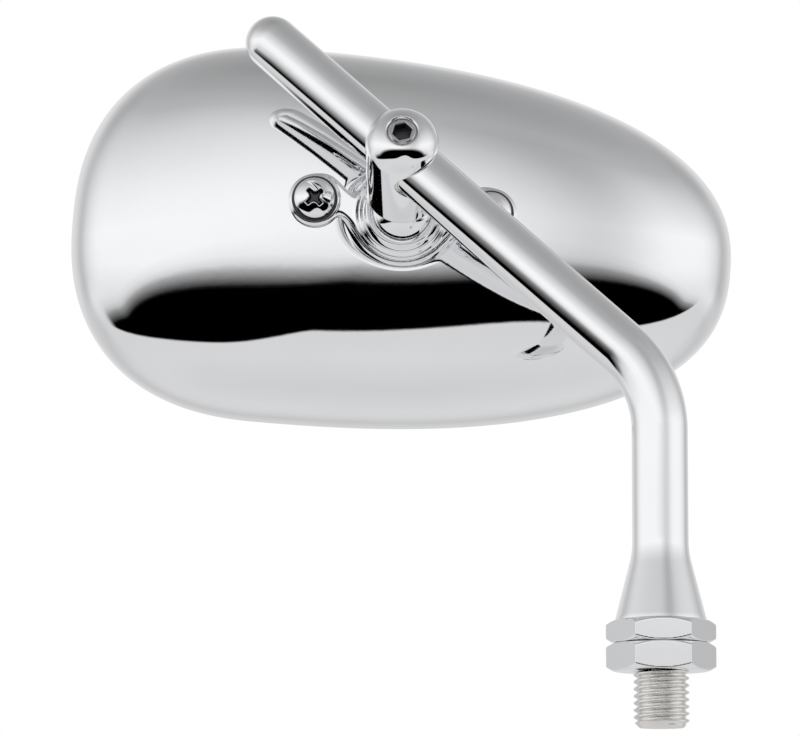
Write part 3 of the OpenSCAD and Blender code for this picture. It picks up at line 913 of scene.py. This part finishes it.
CHROME = surface_material("chrome", (0.93, 0.935, 0.945), rough=(0.015, 0.05), metallic=1.0,
                          scale=90.0, bump=0.012, spread=0.02)
BRIGHT_ZINC = surface_material("zinc", (0.72, 0.73, 0.70), rough=(0.22, 0.38), metallic=1.0,
                               scale=260.0, bump=0.15, spread=0.12)
STEEL = surface_material("steel", (0.60, 0.60, 0.61), rough=(0.18, 0.32), metallic=1.0,
                         scale=320.0, bump=0.12, spread=0.1)
# Near-black steel used only as painted shade: inside the pan screws' cross recesses, inside the set
# screw's socket, and as a painted shadow on the washers round the screw heads.
PAINTED_SHADE_STEEL = surface_material("steel_painted_shade", (0.10, 0.10, 0.11), rough=(0.28, 0.42), metallic=1.0,
                              scale=300.0, bump=0.15, spread=0.15)
THREAD = surface_material("plated_thread", (0.90, 0.885, 0.86), rough=(0.1, 0.22), metallic=1.0,
                          scale=260.0, bump=0.06, spread=0.12)
NYLON = surface_material("nylon", (0.82, 0.81, 0.75), rough=(0.38, 0.52), metallic=0.0,
                         scale=240.0, bump=0.12, spread=0.05)
RUBBER = surface_material("rubber", (0.02, 0.02, 0.021), rough=(0.45, 0.62), metallic=0.0,
                          scale=380.0, bump=0.2, spread=0.25)
FOAM = surface_material("foam", (0.045, 0.045, 0.048), rough=(0.85, 0.95), metallic=0.0,
                        scale=900.0, bump=0.8, spread=0.35)
MIRROR = surface_material("silvered_glass", (0.90, 0.92, 0.925), rough=(0.0, 0.008), metallic=1.0,
                          scale=12.0, bump=0.0, spread=0.01, coat=0.6)


def finish_piece(piece, body, material, slot, *nodes):
    """A visible piece: what it rides on, what it is made of and which solids it stands for."""
    if material:
        piece.data.materials.append(material)
    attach(piece, body)
    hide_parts(*nodes)


def dress_node(node, material):
    """A solid that keeps its shape gets its finish."""
    node_object = frame["nodes"][node]
    node_object.data.materials.clear()
    node_object.data.materials.append(material)


def build_stem():
    bar, hexagon, thread = build_stem_bar(), build_stem_hex(), build_thread()
    bar.data.materials.append(CHROME)
    hexagon.data.materials.append(CHROME)
    thread.data.materials.append(THREAD)
    return join("stem_body", [bar, hexagon, thread])


def build_object():
    finish_piece(build_stem(), "stem", None, "chrome", "stem")
    finish_piece(build_lock_nut(), "stem", CHROME, "chrome", "lock_nut")
    finish_piece(build_post(), "post", CHROME, "chrome", "ball_post")
    finish_piece(build_set_screw(), "post", None, "steel", "set_screw")
    finish_piece(build_shell(), "head", CHROME, "chrome", "shell")
    finish_piece(build_bracket(), "head", CHROME, "chrome", "bracket")
    for name, side in (("left", -1), ("right", 1)):
        screw = build_screw("pan_screw_" + name, side)
        washer = build_washer("flat_washer_" + name, side)
        finish_piece(screw, "head", None, "chrome", "screw_" + name)
        # The washers are near-black steel as a painted shadow ring round the screw heads.
        finish_piece(washer, "head", PAINTED_SHADE_STEEL, "steel", "washer_" + name)
        dress_node("nut_" + name, BRIGHT_ZINC)
    finish_piece(build_glass(), "head", MIRROR, "mirror", "mirror_glass")
    finish_piece(build_gasket(), "head", RUBBER, "rubber", "glass_gasket")
    dress_node("stem_liner", NYLON)
    dress_node("ball_seat", NYLON)
    dress_node("thrust_cup", STEEL)
    dress_node("disc_spring_front", STEEL)
    dress_node("disc_spring_rear", STEEL)
    dress_node("spring_housing", BRIGHT_ZINC)
    dress_node("backing_pad", FOAM)


# Stage
def build_floor():
    corners = [(x * FLOOR_HALF, y * FLOOR_HALF, FLOOR_Z) for x, y in ((-1, -1), (1, -1), (1, 1), (-1, 1))]
    floor = new_mesh("floor", corners, [(0, 1, 2, 3)], Matrix.Identity(4), smooth=False)
    material, nodes = new_material("pale_floor")
    place = nodes.add("ShaderNodeTexCoord").outputs["Object"]
    noise = nodes.add("ShaderNodeTexNoise", {"Vector": place, "Scale": 3.0, "Detail": 2.0})
    tint = nodes.ramp(noise.outputs["Fac"], [(0.3, (0.86, 0.86, 0.865)), (0.7, (0.88, 0.88, 0.885))])
    shader = nodes.add("ShaderNodeBsdfPrincipled", {"Base Color": tint, "Roughness": 0.9})
    nodes.add("ShaderNodeOutputMaterial", {"Surface": shader.outputs["BSDF"]})
    floor.data.materials.append(material)
    floor.visible_glossy = False


def grey(value):
    return (value, value, value * 1.005)


def swell(nodes, bearing, centre, width):
    """1 at a bearing in degrees, falling away smoothly on both sides."""
    away = nodes.times(nodes.less(bearing, math.radians(centre)), 1 / math.radians(width))
    return nodes.math("POWER", math.e, nodes.times(nodes.times(away, away), -0.5))


def layer(nodes, rise, low_start, low_end, high_start, high_end):
    """1 between two soft edges, given in degrees."""
    over_low = nodes.fade(rise, math.radians(low_start), math.radians(low_end))
    over_high = nodes.fade(rise, math.radians(high_start), math.radians(high_end))
    return nodes.times(over_low, nodes.less(1.0, over_high))


def dark_gap(nodes, rise, bearing, share):
    """The gap in the tent: 1 where it is black, with a crisp lower edge and a soft upper one."""
    near = nodes.math("SMOOTH_MIN", share, *GAP_TOP_LIMIT)
    top = nodes.math("MULTIPLY_ADD", nodes.math("POWER", near, GAP_TOP_POWER),
                     math.radians(GAP_TOP_AT_ENDS), math.radians(GAP_TOP))
    low = nodes.math("MULTIPLY_ADD", nodes.math("POWER", share, GAP_FLOOR_POWER),
                     math.radians(GAP_FLOOR_RISE), math.radians(GAP_FLOOR))
    right = nodes.math("MAXIMUM", nodes.times(bearing, 1 / math.radians(GAP_REACH)), 0.0)
    low = nodes.math("MULTIPLY_ADD", nodes.math("POWER", right, GAP_FLOOR_POWER),
                     math.radians(GAP_FLOOR_RISE_RIGHT), low)
    low = nodes.math("MULTIPLY_ADD", swell(nodes, bearing, *GAP_SWELL_AT), math.radians(GAP_SWELL), low)
    above_low = nodes.fade(nodes.less(rise, low), math.radians(-1), math.radians(1))
    over_top = nodes.times(nodes.less(rise, top), 1 / math.radians(GAP_SOFT_TOP))
    gloom = nodes.ramp(over_top, [(place, grey(value)) for place, value in GAP_FADE])
    ends = nodes.less(1.0, nodes.fade(share, *GAP_ENDS))
    return nodes.times(nodes.times(above_low, gloom), ends)


def side_stripes(nodes, rise, bearing):
    """Soft upright greys between the tent's panels."""
    total = 0.0
    for centre, width, strength in STRIPES:
        total = nodes.math("MULTIPLY_ADD", swell(nodes, bearing, centre, width), strength, total)
    return nodes.times(total, layer(nodes, rise, *STRIPE_LAYER))


def build_world():
    """Pale studio: plain white to the camera, soft light on matt surfaces, and for metal a tent that is
    grey overhead, white at the sides, and has one dark gap low in front."""
    world = bpy.data.worlds.new("studio")
    bpy.context.scene.world = world
    world.use_nodes = True
    nodes = Nodes(world.node_tree)
    way = nodes.add("ShaderNodeTexCoord").outputs["Generated"]
    split = nodes.add("ShaderNodeSeparateXYZ", {"Vector": way})
    rise = nodes.math("ARCSINE", split.outputs["Z"])
    bearing = nodes.math("ARCTAN2", split.outputs["X"], nodes.times(split.outputs["Y"], -1.0))
    share = nodes.times(nodes.math("ABSOLUTE", bearing), 1 / math.radians(GAP_REACH))
    height = nodes.math("MULTIPLY_ADD", rise, 1 / math.pi, 0.5)
    tent = nodes.ramp(height, [(degrees / 180 + 0.5, grey(value)) for degrees, value in TENT])
    bright = nodes.less(1.0, dark_gap(nodes, rise, bearing, share))
    keep = nodes.times(bright, nodes.less(1.0, side_stripes(nodes, rise, bearing)))
    behind = nodes.times(nodes.fade(share, *BEHIND_FROM), layer(nodes, rise, *BEHIND_LAYER))
    keep = nodes.times(keep, nodes.math("MULTIPLY_ADD", behind, -BEHIND_GREY, 1.0))
    keep_colour = nodes.add("ShaderNodeCombineColor", {0: keep, 1: keep, 2: keep}).outputs["Color"]
    studio = nodes.mix_colour(1.0, tent, keep_colour, "MULTIPLY")
    light = nodes.add("ShaderNodeLightPath").outputs
    shiny = nodes.math("MAXIMUM", light["Is Glossy Ray"], light["Is Transmission Ray"])
    matt = nodes.mix_colour(shiny, SOFT_LIGHT, studio)
    seen = nodes.mix_colour(light["Is Camera Ray"], matt, (1, 1, 1, 1))
    background = nodes.add("ShaderNodeBackground", {"Color": seen, "Strength": 1.0})
    nodes.add("ShaderNodeOutputWorld", {"Surface": background.outputs["Background"]})


def add_lamp(name, place, power):
    """Soft round lamp aimed at the object, kept out of sight and out of reflections."""
    light = bpy.data.lights.new(name, "AREA")
    light.shape = "DISK"
    light.size = LAMP_SIZE
    light.energy = power
    lamp = bpy.data.objects.new(name, light)
    lamp.location = place
    aim = CAMERA_TARGET - Vector(place)
    lamp.rotation_euler = aim.to_track_quat("-Z", "Y").to_euler()
    lamp.visible_camera = False
    lamp.visible_glossy = False
    bpy.context.scene.collection.objects.link(lamp)


def build_camera():
    """Camera at the photograph's angle, framed by the width that it takes in at the target."""
    camera_data = bpy.data.cameras.new("camera")
    camera_data.sensor_width = 36.0
    camera_data.sensor_fit = "HORIZONTAL"
    camera_data.lens = camera_data.sensor_width * CAMERA_DISTANCE / FRAME_WIDTH
    camera_data.clip_start = 0.01
    camera_data.clip_end = 20.0
    camera = bpy.data.objects.new("camera", camera_data)
    look = Vector((0, math.cos(CAMERA_ELEVATION), -math.sin(CAMERA_ELEVATION)))
    camera.location = CAMERA_TARGET - look * CAMERA_DISTANCE
    camera.rotation_euler = look.to_track_quat("-Z", "Y").to_euler()
    bpy.context.scene.collection.objects.link(camera)
    bpy.context.scene.camera = camera


build_camera()
build_world()
build_floor()
for lamp_name, lamp_place, lamp_power in LAMPS:
    add_lamp(lamp_name, lamp_place, lamp_power)
build_object()

bpy.context.scene.view_settings.view_transform = "Standard"
